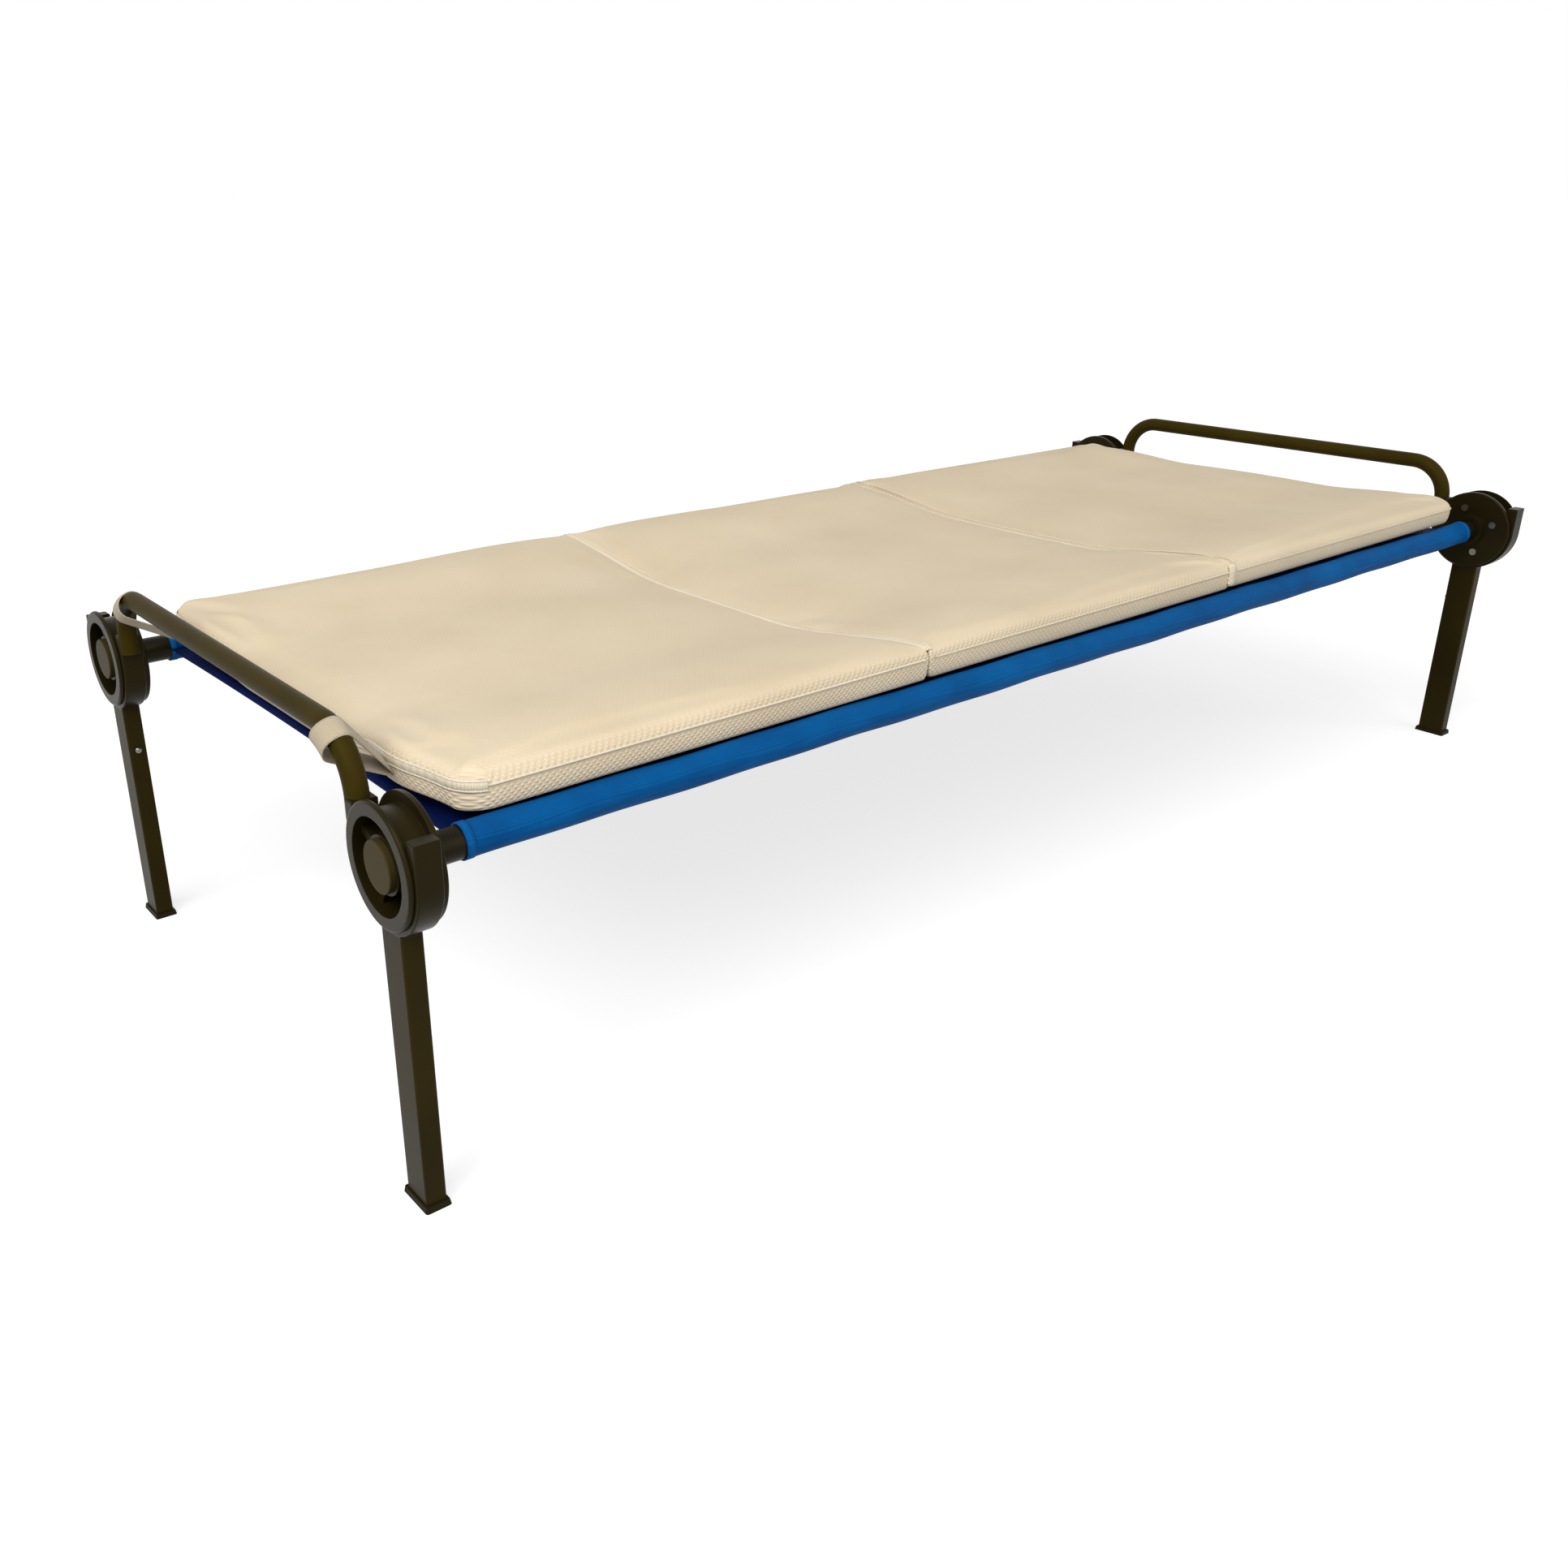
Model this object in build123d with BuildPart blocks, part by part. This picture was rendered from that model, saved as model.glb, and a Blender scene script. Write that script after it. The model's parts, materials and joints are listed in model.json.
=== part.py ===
"""Single take-apart camp cot: two end frames with disc corners, sleeved deck, three-fold pad.

Units are millimetres, +Z is up and the floor is Z = 0. X runs along the bed with the foot end at -X.
Left is the -Y side. The pieces are made in place, so every file shares one frame.
"""

import os

from build123d import *

os.makedirs("parts", exist_ok=True)

# Whole cot
leg_spacing_length = 1990.0
leg_spacing_width = 748.0
rail_height = 361.0
end_bar_height = 457.0
fit_gap = 0.3

# Legs and feet
leg_depth = 22.0
leg_width = 40.0
tube_wall = 1.5
leg_corner = 3.0
foot_flange_depth = 28.0
foot_flange_width = 48.0
foot_flange_height = 6.0
foot_flange_draft = 12.0
foot_plug_height = 22.0
stub_length = 108.0
stub_socket_depth = 9.0

# Snap buttons
button_drop = 121.0
button_radius = 4.5
button_reach = 3.5
button_base_radius = 6.0
button_base_thickness = 1.6
button_hole_gap = 0.35
spring_strip_width = 8.0
spring_strip_thickness = 0.8
spring_length = 42.0
spring_bend = 4.0

# Corners, measured outward along X from the leg centre: a spool on the rail's end stands in a U saddle
spool_core_radius = 50.0
spool_flange_radius = 60.0
spool_flange_thickness = 4.5
spool_flange_fillet = 3.0
spool_front = 18.5
spool_rim_inner = 46.0
back_plate_radius = 61.0
back_plate_thickness = 6.0
back_plate_front = -13.0
back_plate_fillet = 2.0
hub_radius = 28.0
hub_front = 12.0
spoke_width = 9.0
spoke_bite = 1.0
spoke_front = 9.0
spoke_count = 4
spoke_start = 66.0
rail_boss_radius = 24.0
rail_boss_length = 10.0
rail_bore_front = -4.0
rivet_circle = 37.0
rivet_radius = 3.0
rivet_head_radius = 5.5
rivet_head_height = 2.4
saddle_wall = 14.5
saddle_side_gap = 0.5
saddle_arm_height = 42.0
saddle_fillet = 2.0
neck_drop = 66.0
neck_height = 14.0
cap_radius = 25.0
cap_crown = 1.2
cap_peg_radius = 6.0
cap_peg_length = 10.0

# Rails
rail_radius = 16.0
splice_length = 220.0

# End bars
bar_radius = 11.5
bar_offset = 1.5
bar_bend_radius = 57.0
bar_inset = 63.0
bar_end_rise = 20.0
bar_least_straight = 12.0
weld_gap = 0.1

# Deck sheet with its two sleeves
sleeve_wall = 1.7
sleeve_end_inset = 68.0
sheet_thickness = 1.6

# Three-fold pad
pad_foot_inset = 73.0
pad_fold_foot = -322.0
pad_fold_head = 280.0
pad_head_inset = 47.0
pad_side_inset = 3.0
pad_flat_inset = 61.0
pad_thickness = 43.0
pad_hollow = 7.0
pad_crest_rise = 6.0
pad_side_bulge = 7.0
pad_ledge_rise = 1.0
pad_corner_round = 32.0
pad_end_pull = 9.0
pad_fold_dip = 7.0
pad_fold_gap = 0.6
cover_thickness = 2.0
foam_gap = 0.7

# Straps that tie the pad to the foot bar
strap_width = 26.0
strap_thickness = 1.4
strap_slack = 1.8
strap_turn = 26.0
strap_tail_radius = 4.0
strap_tail_height = 30.0

# Values that follow from the sizes above
leg_x = leg_spacing_length / 2
leg_y = leg_spacing_width / 2
saddle_inner_radius = spool_core_radius + fit_gap
saddle_outer_radius = saddle_inner_radius + saddle_wall
saddle_back = back_plate_front + saddle_side_gap
saddle_front = spool_front - spool_flange_thickness - saddle_side_gap
back_plate_back = back_plate_front - back_plate_thickness
rail_boss_back = back_plate_back - rail_boss_length
neck_bottom = rail_height - neck_drop
stub_depth = leg_depth - 2 * tube_wall - 2 * fit_gap
stub_width = leg_width - 2 * tube_wall - 2 * fit_gap
stub_top = neck_bottom + stub_socket_depth
button_height = rail_height - button_drop
rail_end = leg_x + rail_bore_front
sleeve_inner_radius = rail_radius + fit_gap
sleeve_outer_radius = sleeve_inner_radius + sleeve_wall
sleeve_end = leg_x - sleeve_end_inset
bar_x = leg_x + bar_offset
bar_drop_y = leg_y - bar_inset
bar_lowest_bend = end_bar_height - bar_bend_radius
bar_start_height = min(rail_height + bar_end_rise, bar_lowest_bend - bar_least_straight)
strap_place = bar_drop_y - bar_bend_radius
sheet_top = rail_height + sheet_thickness / 2
pad_bottom = sheet_top + fit_gap
pad_edge_bottom = rail_height + sleeve_outer_radius + fit_gap
pad_foot_end = pad_foot_inset - leg_x
pad_head_end = leg_x - pad_head_inset
pad_half_width = leg_y - pad_side_inset
pad_flat_half_width = leg_y - pad_flat_inset

ends = {"foot": -1, "head": 1}
sides = {"left": -1, "right": 1}


def save(part, name):
    """Label a finished piece and write it to its own file."""
    part.label = name
    export_step(part, f"parts/{name}.step")


def corner_plane(end, side, outward):
    """Plane across the rail's axis at a corner, facing out of the cot, with its Y axis up."""
    origin = (end * (leg_x + outward), side * leg_y, rail_height)
    return Plane(origin=origin, x_dir=(0, end, 0), z_dir=(end, 0, 0))


def saddle_outline(plane, half_width, top):
    """Draw a U: a half round below the axis with straight arms up to a flat top."""
    with BuildSketch(plane) as outline:
        with BuildLine():
            start = Line((half_width, top), (half_width, 0))
            bowl = ThreePointArc(start @ 1, (0, -half_width), (-half_width, 0))
            rise = Line(bowl @ 1, (-half_width, top))
            Line(rise @ 1, start @ 0)
        make_face()
    return outline.sketch


def spoke_turn(end, side):
    """Angle of the first spoke, mirrored so that all four corners match from outside."""
    return spoke_start if end * side > 0 else 180 - spoke_start


def make_corner_housing(end, side):
    """U saddle that the rail's spool drops into, with a neck for the leg below."""
    open_top = saddle_arm_height + saddle_outer_radius
    with BuildPart() as housing:
        body = saddle_outline(corner_plane(end, side, saddle_back), saddle_outer_radius, saddle_arm_height)
        extrude(body, amount=saddle_front - saddle_back)
        faces_across = housing.faces().sort_by(Axis.X)
        fillet(faces_across[0].edges() + faces_across[-1].edges(), saddle_fillet)
        with BuildSketch(Plane.XY.offset(neck_bottom)):
            with Locations((end * leg_x, side * leg_y)):
                RectangleRounded(leg_depth, leg_width, leg_corner)
        extrude(amount=neck_height)
        channel = saddle_outline(corner_plane(end, side, saddle_back), saddle_inner_radius, open_top)
        extrude(channel, amount=saddle_front - saddle_back, mode=Mode.SUBTRACT)
        with BuildSketch(Plane.XY.offset(neck_bottom)):
            with Locations((end * leg_x, side * leg_y)):
                Rectangle(stub_depth + 2 * weld_gap, stub_width + 2 * weld_gap)
        extrude(amount=stub_socket_depth, mode=Mode.SUBTRACT)
    return housing.part


def make_hub_cap(end, side):
    """Shallow domed cap on the spool's hub, held by a peg."""
    with BuildPart() as cap:
        with BuildSketch(corner_plane(end, side, hub_front)):
            Circle(cap_radius)
        extrude(amount=spool_front - hub_front)
        cap_edges = cap.edges().filter_by(GeomType.CIRCLE).sort_by(Axis.X)
        fillet(cap_edges[-1] if end > 0 else cap_edges[0], cap_crown)
        with BuildSketch(corner_plane(end, side, hub_front - cap_peg_length)):
            Circle(cap_peg_radius)
        extrude(amount=cap_peg_length)
    return cap.part


def make_leg_stub(end, side):
    """Short rectangular tube that stands in the housing's neck and takes the leg."""
    with BuildPart() as stub:
        with BuildSketch(Plane.XY.offset(stub_top - stub_length)):
            with Locations((end * leg_x, side * leg_y)):
                RectangleRounded(stub_depth, stub_width, leg_corner - tube_wall)
                Rectangle(stub_depth - 2 * tube_wall, stub_width - 2 * tube_wall, mode=Mode.SUBTRACT)
        extrude(amount=stub_length)
        with BuildSketch(button_plane(end, side)):
            Circle(button_radius + button_hole_gap)
        extrude(amount=leg_width / 2, mode=Mode.SUBTRACT)
    return stub.part


def button_plane(end, side):
    """Plane at a leg's centre, facing the cot's centre line at the button's height."""
    origin = (end * leg_x, side * leg_y, button_height)
    return Plane(origin=origin, x_dir=(1, 0, 0), z_dir=(0, -side, 0))


def make_leg(end, side):
    """Rectangular leg tube with the button's hole in the face towards the cot."""
    leg_length = neck_bottom - foot_flange_height
    with BuildPart() as leg:
        with BuildSketch(Plane.XY.offset(foot_flange_height)):
            with Locations((end * leg_x, side * leg_y)):
                RectangleRounded(leg_depth, leg_width, leg_corner)
                RectangleRounded(
                    leg_depth - 2 * tube_wall,
                    leg_width - 2 * tube_wall,
                    leg_corner - tube_wall,
                    mode=Mode.SUBTRACT,
                )
        extrude(amount=leg_length)
        with BuildSketch(button_plane(end, side)):
            Circle(button_radius + button_hole_gap)
        extrude(amount=leg_width, mode=Mode.SUBTRACT)
    return leg.part


def make_foot_cap(end, side):
    """Flared plastic foot with a plug that stands inside the leg tube."""
    with BuildPart() as foot:
        with BuildSketch(Plane.XY):
            with Locations((end * leg_x, side * leg_y)):
                RectangleRounded(foot_flange_depth, foot_flange_width, leg_corner)
        extrude(amount=foot_flange_height, taper=foot_flange_draft)
        with BuildSketch(Plane.XY.offset(foot_flange_height)):
            with Locations((end * leg_x, side * leg_y)):
                RectangleRounded(stub_depth, stub_width, leg_corner - tube_wall)
        extrude(amount=foot_plug_height)
    return foot.part


def make_snap_button(end, side):
    """Domed button through the stub and the leg, with a base that stops it inside."""
    face = leg_width / 2
    base_top = stub_width / 2 - tube_wall - fit_gap
    with BuildPart() as button:
        with BuildSketch(button_plane(end, side).offset(base_top - button_base_thickness)):
            Circle(button_base_radius)
        extrude(amount=button_base_thickness)
        with BuildSketch(button_plane(end, side).offset(base_top)):
            Circle(button_radius)
        extrude(amount=face + button_reach - base_top)
        tip = button.edges().filter_by(GeomType.CIRCLE).sort_by(Axis.Y)
        fillet(tip[0] if side > 0 else tip[-1], button_radius * 0.7)
    return button.part


def make_button_spring(end, side):
    """Leaf spring inside the stub: one arm behind the button, one on the far wall."""
    front = stub_width / 2 - tube_wall - fit_gap - button_base_thickness - fit_gap
    back = -(stub_width / 2 - tube_wall - fit_gap)
    foot_z = -spring_length
    plane = Plane(
        origin=(end * leg_x, side * leg_y, button_height),
        x_dir=(0, -side, 0),
        z_dir=(-side, 0, 0),
    )
    with BuildPart() as spring:
        with BuildSketch(plane):
            with BuildLine() as strip:
                FilletPolyline(
                    (front - spring_strip_thickness / 2, button_base_radius),
                    (front - spring_strip_thickness / 2, foot_z),
                    (back + spring_strip_thickness / 2, foot_z),
                    (back + spring_strip_thickness / 2, 0),
                    radius=spring_bend,
                )
            trace(strip.line, line_width=spring_strip_thickness)
        extrude(amount=spring_strip_width / 2, both=True)
    return spring.part


def make_rail_disc(end, side):
    """Spool on the rail's end: spoked front flange, barrel, back plate and a boss for the rail."""
    with BuildPart() as disc:
        with BuildSketch(corner_plane(end, side, back_plate_back)):
            Circle(back_plate_radius)
        extrude(amount=back_plate_thickness)
        plate_rims = disc.edges().filter_by(GeomType.CIRCLE).sort_by(Axis.X)
        fillet(plate_rims[0] if end > 0 else plate_rims[-1], back_plate_fillet)
        with BuildSketch(corner_plane(end, side, spool_front - spool_flange_thickness)):
            Circle(spool_flange_radius)
        extrude(amount=spool_flange_thickness)
        front_rims = disc.edges().filter_by(GeomType.CIRCLE).sort_by(Axis.X)
        fillet(front_rims[-1] if end > 0 else front_rims[0], spool_flange_fillet)
        with BuildSketch(corner_plane(end, side, back_plate_front)):
            Circle(spool_core_radius)
        extrude(amount=spool_front - back_plate_front - spool_flange_thickness)
        with BuildSketch(corner_plane(end, side, back_plate_front)):
            Circle(spool_rim_inner)
        extrude(amount=spool_front - back_plate_front, mode=Mode.SUBTRACT)
        with BuildSketch(corner_plane(end, side, back_plate_front)):
            with PolarLocations(spool_rim_inner / 2, spoke_count, start_angle=spoke_turn(end, side)):
                Rectangle(spool_rim_inner + 2 * spoke_bite, spoke_width)
        extrude(amount=spoke_front - back_plate_front)
        with BuildSketch(corner_plane(end, side, back_plate_front)):
            Circle(hub_radius)
        extrude(amount=hub_front - back_plate_front)
        with BuildSketch(corner_plane(end, side, rail_boss_back)):
            Circle(rail_boss_radius)
        extrude(amount=rail_boss_length)
        with BuildSketch(corner_plane(end, side, rail_boss_back)):
            Circle(rail_radius + weld_gap)
        extrude(amount=rail_bore_front - rail_boss_back, mode=Mode.SUBTRACT)
        with BuildSketch(corner_plane(end, side, hub_front - cap_peg_length)):
            Circle(cap_peg_radius + weld_gap)
        extrude(amount=cap_peg_length, mode=Mode.SUBTRACT)
        with BuildSketch(corner_plane(end, side, back_plate_back)):
            with PolarLocations(rivet_circle, spoke_count, start_angle=spoke_turn(end, side) + 45):
                Circle(rivet_radius + weld_gap)
        extrude(amount=back_plate_thickness, mode=Mode.SUBTRACT)
    return disc.part


def make_rail_half(end, side):
    """Half of a side rail: a round tube from the spool's bore to the middle of the cot."""
    with BuildPart() as rail:
        with BuildSketch(Plane(origin=(0, side * leg_y, rail_height), x_dir=(0, 1, 0), z_dir=(end, 0, 0))):
            Circle(rail_radius)
            Circle(rail_radius - tube_wall, mode=Mode.SUBTRACT)
        extrude(amount=rail_end)
    return rail.part


def make_rail_splice(side):
    """Inner tube that joins the two halves of a rail."""
    with BuildPart() as splice:
        with BuildSketch(Plane(origin=(0, side * leg_y, rail_height), x_dir=(0, 1, 0), z_dir=(1, 0, 0))):
            Circle(rail_radius - tube_wall - weld_gap)
            Circle(rail_radius - 2 * tube_wall - weld_gap, mode=Mode.SUBTRACT)
        extrude(amount=splice_length / 2, both=True)
    return splice.part


def make_disc_rivets():
    """Rivets through the spools' back plates, between the spokes, with a head on each side."""
    with BuildPart() as rivets:
        for end in ends.values():
            for side in sides.values():
                places = PolarLocations(rivet_circle, spoke_count, start_angle=spoke_turn(end, side) + 45)
                with BuildSketch(corner_plane(end, side, back_plate_back)):
                    with places:
                        Circle(rivet_radius)
                extrude(amount=back_plate_thickness)
                heads = ((back_plate_back, -rivet_head_height), (back_plate_front, rivet_head_height))
                for face, height in heads:
                    with BuildSketch(corner_plane(end, side, face)):
                        with places:
                            Circle(rivet_head_radius)
                    extrude(amount=height)
    return rivets.part


def make_end_bar(end):
    """Bent tube over the end of the bed, coped to the saddles' inner arms."""
    with BuildPart() as bar:
        with BuildLine() as route:
            FilletPolyline(
                (end * bar_x, -bar_drop_y, bar_start_height),
                (end * bar_x, -bar_drop_y, end_bar_height),
                (end * bar_x, bar_drop_y, end_bar_height),
                (end * bar_x, bar_drop_y, bar_start_height),
                radius=bar_bend_radius,
            )
        with BuildSketch(Plane(origin=(end * bar_x, -bar_drop_y, bar_start_height), z_dir=(0, 0, 1))):
            Circle(bar_radius)
            Circle(bar_radius - tube_wall, mode=Mode.SUBTRACT)
        sweep(path=route.line)
        for side in sides.values():
            cope = saddle_outline(
                corner_plane(end, side, 0),
                saddle_outer_radius + weld_gap,
                saddle_arm_height + weld_gap,
            )
            extrude(cope, amount=2 * bar_radius, both=True, mode=Mode.SUBTRACT)
    return bar.part


def make_deck_sheet():
    """Cloth deck: a flat sheet between the rails with a sewn sleeve along each side."""
    reach = leg_y - sleeve_inner_radius
    with BuildPart() as sheet:
        with BuildSketch(Plane(origin=(0, 0, rail_height), x_dir=(0, 1, 0), z_dir=(1, 0, 0))):
            Rectangle(2 * reach, sheet_thickness)
            with Locations((leg_y, 0), (-leg_y, 0)):
                Circle(sleeve_outer_radius)
            with Locations((leg_y, 0), (-leg_y, 0)):
                Circle(sleeve_inner_radius, mode=Mode.SUBTRACT)
        extrude(amount=sleeve_end, both=True)
    return sheet.part


def pad_profile(x, inset, narrow, lower):
    """Cross-section of the pad at x: flat on the deck, riding up over the rails at its sides.

    inset shrinks it all round, narrow brings the sides in and lower brings the top down.
    """
    half = pad_half_width - inset - narrow
    flat = pad_flat_half_width - narrow
    base = pad_bottom + inset
    edge_base = pad_edge_bottom + inset
    side_top = pad_edge_bottom + pad_thickness - pad_crest_rise - inset - lower
    bulge = pad_side_bulge
    crest_y = half - bulge - 3 * pad_crest_rise
    crest_z = side_top + pad_crest_rise
    slope_y = flat - 4 * pad_crest_rise
    slope_z = pad_bottom + pad_thickness + pad_hollow - inset - lower
    middle_z = pad_bottom + pad_thickness - inset - lower
    ramp = flat + 2 * (pad_edge_bottom - pad_bottom)
    with BuildSketch(Plane(origin=(x, 0, 0), x_dir=(0, 1, 0), z_dir=(1, 0, 0))) as profile:
        with BuildLine():
            floor = Line((-flat, base), (flat, base))
            climb = Line(floor @ 1, (ramp, edge_base))
            ledge = Line(climb @ 1, (half - bulge, edge_base + pad_ledge_rise))
            swell = ThreePointArc(ledge @ 1, (half, (edge_base + side_top) / 2), (half - bulge, side_top))
            crest = ThreePointArc(swell @ 1, (crest_y, crest_z), (slope_y, slope_z))
            dish = ThreePointArc(crest @ 1, (0, middle_z), (-slope_y, slope_z))
            crest_far = ThreePointArc(dish @ 1, (-crest_y, crest_z), (-half + bulge, side_top))
            far_middle = (-half, (edge_base + side_top) / 2)
            swell_far = ThreePointArc(crest_far @ 1, far_middle, (-half + bulge, edge_base + pad_ledge_rise))
            ledge_far = Line(swell_far @ 1, (-ramp, edge_base))
            Line(ledge_far @ 1, floor @ 0)
        make_face()
    return profile.sketch


def pad_block(start, stop, outer_start, outer_stop, inset):
    """Loft one pad section along X, drawn in at its ends and rounded at the pad's outer corners."""
    stations = []
    if outer_start:
        stations += [(start + inset, pad_corner_round, pad_end_pull)]
        stations += [(start + pad_corner_round * 0.3, pad_corner_round * 0.3, pad_end_pull / 4)]
        stations += [(start + pad_corner_round, 0, 0)]
    else:
        stations += [(start + inset, pad_fold_dip / 2, pad_fold_dip)]
        stations += [(start + 2 * pad_fold_dip, 0, 0)]
    if outer_stop:
        stations += [(stop - pad_corner_round, 0, 0)]
        stations += [(stop - pad_corner_round * 0.3, pad_corner_round * 0.3, pad_end_pull / 4)]
        stations += [(stop - inset, pad_corner_round, pad_end_pull)]
    else:
        stations += [(stop - 2 * pad_fold_dip, 0, 0)]
        stations += [(stop - inset, pad_fold_dip / 2, pad_fold_dip)]
    with BuildPart() as block:
        loft([pad_profile(x, inset, narrow, lower) for x, narrow, lower in stations], ruled=True)
    return block.part


def make_foot_strap(side):
    """Webbing loop round the foot bar at its bend, sewn to the pad's end.

    It is drawn square to the bar where the bend starts, then turned about the bend's centre.
    """
    tail_x = pad_foot_end - fit_gap - strap_tail_radius
    tail_z = pad_bottom + strap_tail_height
    loop_radius = bar_radius + strap_slack
    plane = Plane(origin=(0, side * strap_place, 0), x_dir=(1, 0, 0), z_dir=(0, -1, 0))
    with BuildPart() as strap:
        with BuildSketch(plane):
            with Locations((-bar_x, end_bar_height)):
                Circle(loop_radius + strap_thickness)
            with Locations((tail_x, tail_z)):
                Circle(strap_tail_radius)
            make_hull()
        extrude(amount=strap_width / 2, both=True)
        with BuildSketch(plane):
            with Locations((-bar_x, end_bar_height)):
                Circle(loop_radius)
            with Locations((tail_x, tail_z)):
                Circle(strap_tail_radius - strap_thickness)
            make_hull()
        extrude(amount=strap_width / 2, both=True, mode=Mode.SUBTRACT)
    bend_axis = Axis((0, side * strap_place, bar_lowest_bend), (1, 0, 0))
    return strap.part.rotate(bend_axis, -side * strap_turn)


for end_name, end in ends.items():
    save(make_end_bar(end), f"{end_name}_end_bar")
    for side_name, side in sides.items():
        corner = f"{end_name}_{side_name}"
        save(make_corner_housing(end, side), f"corner_housing_{corner}")
        save(make_hub_cap(end, side), f"hub_cap_{corner}")
        save(make_leg_stub(end, side), f"leg_stub_{corner}")
        save(make_leg(end, side), f"leg_{corner}")
        save(make_foot_cap(end, side), f"foot_cap_{corner}")
        save(make_snap_button(end, side), f"snap_button_{corner}")
        save(make_button_spring(end, side), f"button_spring_{corner}")
        save(make_rail_disc(end, side), f"rail_disc_{corner}")
        save(make_rail_half(end, side), f"side_rail_{corner}")

for side_name, side in sides.items():
    save(make_rail_splice(side), f"rail_splice_{side_name}")
    save(make_foot_strap(side), f"pad_strap_{side_name}")

save(make_disc_rivets(), "disc_rivets")
save(make_deck_sheet(), "deck_sheet")

pad_sections = {
    "foot": (pad_foot_end, pad_fold_foot - pad_fold_gap / 2, True, False),
    "middle": (pad_fold_foot + pad_fold_gap / 2, pad_fold_head - pad_fold_gap / 2, False, False),
    "head": (pad_fold_head + pad_fold_gap / 2, pad_head_end, False, True),
}
for name, (start, stop, outer_start, outer_stop) in pad_sections.items():
    outer = pad_block(start, stop, outer_start, outer_stop, 0)
    hollow = pad_block(start, stop, outer_start, outer_stop, cover_thickness)
    with BuildPart() as cover:
        add(outer)
        add(hollow, mode=Mode.SUBTRACT)
    save(cover.part, f"pad_cover_{name}")
    save(pad_block(start, stop, outer_start, outer_stop, cover_thickness + foam_gap), f"pad_foam_{name}")
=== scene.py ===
# %% [markdown]
# # A camp cot with disc corners and a three-fold pad
# The real cot is two bent end frames, two side rails with discs on their ends, a blue cloth deck that the
# rails run through, and a knitted foam pad that folds in three. The rigid pieces come ready made from the
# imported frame. This lesson gives them their finish, and makes the soft pieces: pad, deck and straps.

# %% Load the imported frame
import json
import math

import bpy
import numpy as np
from mathutils import Matrix, Vector


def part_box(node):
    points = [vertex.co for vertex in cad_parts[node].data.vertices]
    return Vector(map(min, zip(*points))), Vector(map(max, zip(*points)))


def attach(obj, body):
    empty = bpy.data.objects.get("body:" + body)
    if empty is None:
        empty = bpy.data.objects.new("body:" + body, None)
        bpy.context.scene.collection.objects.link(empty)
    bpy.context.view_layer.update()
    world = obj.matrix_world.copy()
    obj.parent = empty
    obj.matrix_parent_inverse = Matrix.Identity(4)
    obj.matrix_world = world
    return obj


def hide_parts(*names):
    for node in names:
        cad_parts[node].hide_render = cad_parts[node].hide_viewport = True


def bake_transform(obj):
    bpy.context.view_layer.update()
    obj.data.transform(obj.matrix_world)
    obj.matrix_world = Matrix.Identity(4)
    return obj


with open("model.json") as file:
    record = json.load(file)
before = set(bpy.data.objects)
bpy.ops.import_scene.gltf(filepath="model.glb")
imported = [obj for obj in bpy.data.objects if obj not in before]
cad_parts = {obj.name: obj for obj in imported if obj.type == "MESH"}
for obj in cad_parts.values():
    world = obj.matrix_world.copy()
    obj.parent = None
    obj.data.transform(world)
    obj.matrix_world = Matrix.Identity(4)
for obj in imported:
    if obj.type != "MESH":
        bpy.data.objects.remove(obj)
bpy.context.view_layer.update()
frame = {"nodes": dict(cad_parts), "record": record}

nodes = frame["nodes"]

# %% [markdown]
# ## Sizes that the soft pieces share
# Everything soft is fitted to the rigid pieces. Its sizes could be typed in, but then they would drift from
# the frame, so they are read from it: the rails give the height and the width, the pad's covers give where
# the folds are, and the end bar gives the straps' place.

# %% Read the sizes
rail_low, rail_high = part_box("side_rail_foot_left")
rail_radius = (rail_high.z - rail_low.z) / 2
rail_z = (rail_high.z + rail_low.z) / 2
rail_y = -(rail_high.y + rail_low.y) / 2
deck_low, deck_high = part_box("deck_sheet")
deck_end = deck_high.x
sleeve_radius = (deck_high.z - deck_low.z) / 2
bar_low, bar_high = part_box("foot_end_bar")
bar_radius = (bar_high.x - bar_low.x) / 2
bar_x = (bar_high.x + bar_low.x) / 2
bar_z = bar_high.z - bar_radius
pad_box = {name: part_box(f"pad_cover_{name}") for name in ("foot", "middle", "head")}
pad_half_width = pad_box["middle"][1].y
pad_bottom = pad_box["middle"][0].z
pad_crest = pad_box["middle"][1].z
sides = {"left": -1, "right": 1}
print("rail", rail_y, rail_z, rail_radius, "bar", bar_x, bar_z, "pad", pad_bottom, pad_crest)

# %% [markdown]
# ## Small helpers
# A piece is a mesh from points and faces, shaded smooth, with one material. `grid_faces` joins rows of
# points into quads, and can close the rows into rings, which is all that tubes, bands and sheets need. A
# sheet gets its thickness from a modifier, so that its points stay a simple grid.

# %% Mesh helpers
def grid_faces(rows, columns, close_rows=False, close_columns=False):
    """Quads between the points of a grid that is stored row after row."""
    faces = []
    for i in range(rows if close_rows else rows - 1):
        for j in range(columns if close_columns else columns - 1):
            a, b = i * columns + j, i * columns + (j + 1) % columns
            down = ((i + 1) % rows) * columns
            faces.append((a, b, down + (j + 1) % columns, down + j))
    return faces


def make_piece(name, points, faces, material):
    """A smooth mesh object at the origin with one material."""
    mesh = bpy.data.meshes.new(name)
    mesh.from_pydata([tuple(map(float, p)) for p in points], [], faces)
    mesh.validate()
    mesh.polygons.foreach_set("use_smooth", [True] * len(mesh.polygons))
    piece = bpy.data.objects.new(name, mesh)
    bpy.context.scene.collection.objects.link(piece)
    mesh.materials.append(material)
    return piece


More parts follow.
